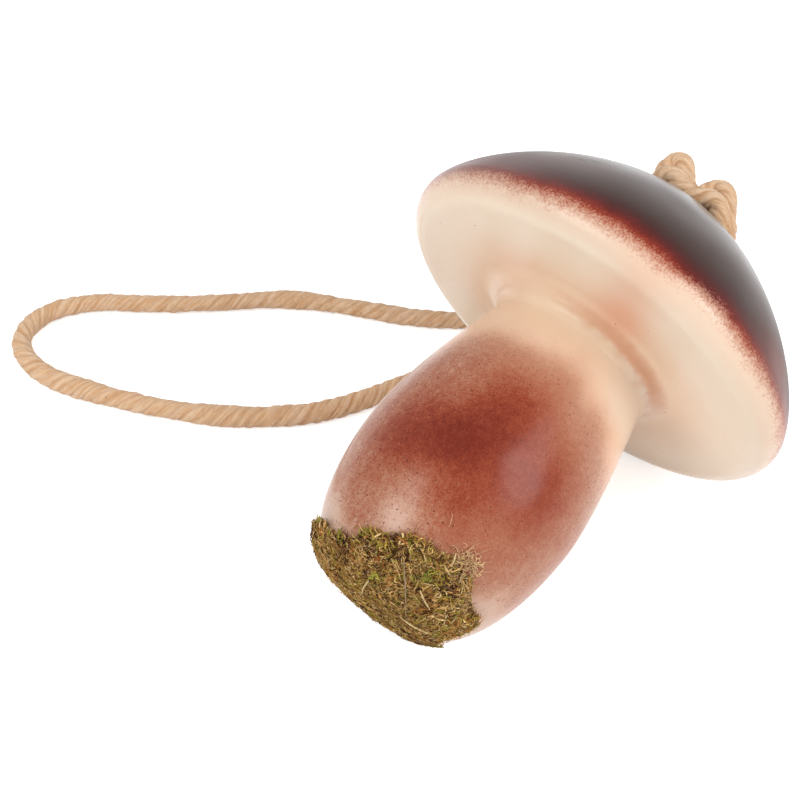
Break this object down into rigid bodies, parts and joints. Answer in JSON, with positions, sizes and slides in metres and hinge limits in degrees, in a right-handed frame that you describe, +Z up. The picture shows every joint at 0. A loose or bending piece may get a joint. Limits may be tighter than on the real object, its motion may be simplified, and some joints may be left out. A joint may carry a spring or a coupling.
{
  "type": "mushroom ornament",
  "caption": "Hollow glazed ceramic mushroom with moss on its foot, lying on its side, with a knotted jute cord loop through the crown for hanging.",
  "frame": {"origin": "on the floor, under the middle of the mushroom as it lies, without its cord", "axes": "+X along the mushroom as it lies, from the foot to the crown, level with the floor; +Y sideways, towards the free loop of cord; +Z up"},
  "size_m": [0.1272, 0.1901, 0.09],
  "materials": {
    "stem_glaze": "gloss cream glaze, airbrushed red-brown",
    "slip": "gloss glaze over slip",
    "cap_glaze": "gloss grey-brown glaze above, cream below",
    "glue": "clear glue",
    "moss": "dry preserved moss",
    "jute_cord": "twisted jute"
  },
  "bodies": {
    "root": {"stem_shell": "stem_glaze", "slip_joint": "slip", "cap_shell": "cap_glaze", "moss_glue": "glue", "foot_moss": "moss", "side_moss": "moss", "crown_knot": "jute_cord", "cord_leg_left": "jute_cord", "cord_leg_right": "jute_cord", "stopper_knot": "jute_cord", "cord_tail_left": "jute_cord", "cord_tail_right": "jute_cord", "hanging_cord": "jute_cord"}
  },
  "joints": []
}
